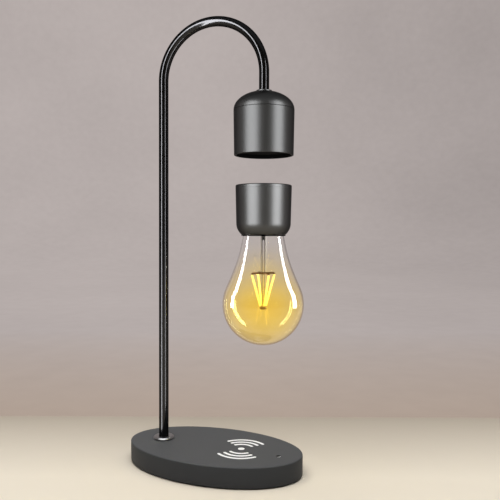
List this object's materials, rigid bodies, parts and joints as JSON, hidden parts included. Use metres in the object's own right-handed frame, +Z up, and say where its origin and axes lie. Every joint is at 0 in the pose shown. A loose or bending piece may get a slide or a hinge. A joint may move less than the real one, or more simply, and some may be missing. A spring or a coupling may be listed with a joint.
{
  "type": "levitating lamp",
  "caption": "Table lamp with an oval charging base, a bent tube stem, a bell-shaped magnet head and a capped bulb that floats below the head.",
  "frame": {"origin": "middle of the oval base at table level", "axes": "+Z up, +X along the base's long axis from the stem's foot to the head, +Y across the base"},
  "size_m": [0.14, 0.08, 0.3438],
  "materials": {
    "base_plastic": "fine satin",
    "black_plastic": "matte",
    "foot_rubber": "matte",
    "plain_steel": "bright zinc",
    "copper_wire": "enamelled copper",
    "ferrite": "matte",
    "circuit_board": "satin lacquer",
    "light_pipe": "clear polished",
    "black_chrome": "black chrome, polished",
    "wire_sheath": "satin",
    "gunmetal": "satin gunmetal",
    "white_plastic": "moulded",
    "soft_iron": "machined",
    "nickel_plate": "nickel plate",
    "clear_glass": "clear",
    "glowing_filament": "yellow phosphor, lit"
  },
  "bodies": {
    "base": {"base_shell": "base_plastic", "bottom_cover": "black_plastic", "rubber_foot_1": "foot_rubber", "rubber_foot_2": "foot_rubber", "rubber_foot_3": "foot_rubber", "rubber_foot_4": "foot_rubber", "cover_screw_1": "plain_steel", "cover_screw_2": "plain_steel", "cover_screw_3": "plain_steel", "cover_screw_4": "plain_steel", "base_weight": "plain_steel", "charging_coil": "copper_wire", "ferrite_disc": "ferrite", "control_board": "circuit_board", "dc_jack": "black_plastic", "indicator_lens": "light_pipe", "indicator_board": "circuit_board", "stem_flange": "black_chrome", "stem_washer": "plain_steel", "stem_nut": "plain_steel", "stem_tube": "black_chrome", "stem_wiring": "wire_sheath", "head_shell": "gunmetal", "head_collar": "gunmetal", "head_nut": "plain_steel", "head_face_plate": "black_plastic", "transmit_coil": "copper_wire", "magnet_bobbin": "white_plastic", "electromagnet_coil": "copper_wire", "iron_core": "soft_iron", "bias_magnet": "nickel_plate", "head_board": "circuit_board"},
    "float_carrier": {"lift_magnet": "nickel_plate"},
    "bulb_unit": {"cap_shell": "gunmetal", "cap_lid": "gunmetal", "receiver_coil": "copper_wire", "magnet_carrier": "white_plastic", "receiver_board": "circuit_board", "neck_holder": "black_plastic", "neck_gasket": "black_plastic", "bulb_glass": "clear_glass", "glass_stem": "clear_glass", "filament_support": "plain_steel", "filament_hub": "plain_steel", "filament_1": "glowing_filament", "filament_2": "glowing_filament", "filament_3": "glowing_filament", "filament_4": "glowing_filament", "lead_wire_1": "plain_steel", "lead_wire_2": "plain_steel"}
  },
  "joints": [
    {"name": "float_height", "type": "slide", "parent": "base", "child": "float_carrier", "axis": [0, 0, 1], "range_m": [-0.075, 0.021], "stiffness_N_per_m": 60, "springref_m": 0.0149},
    {"name": "bulb_spin", "type": "hinge", "parent": "float_carrier", "child": "bulb_unit", "pos_m": [0.0396, 0, 0.2], "axis": [0, 0, 1], "continuous": true}
  ]
}
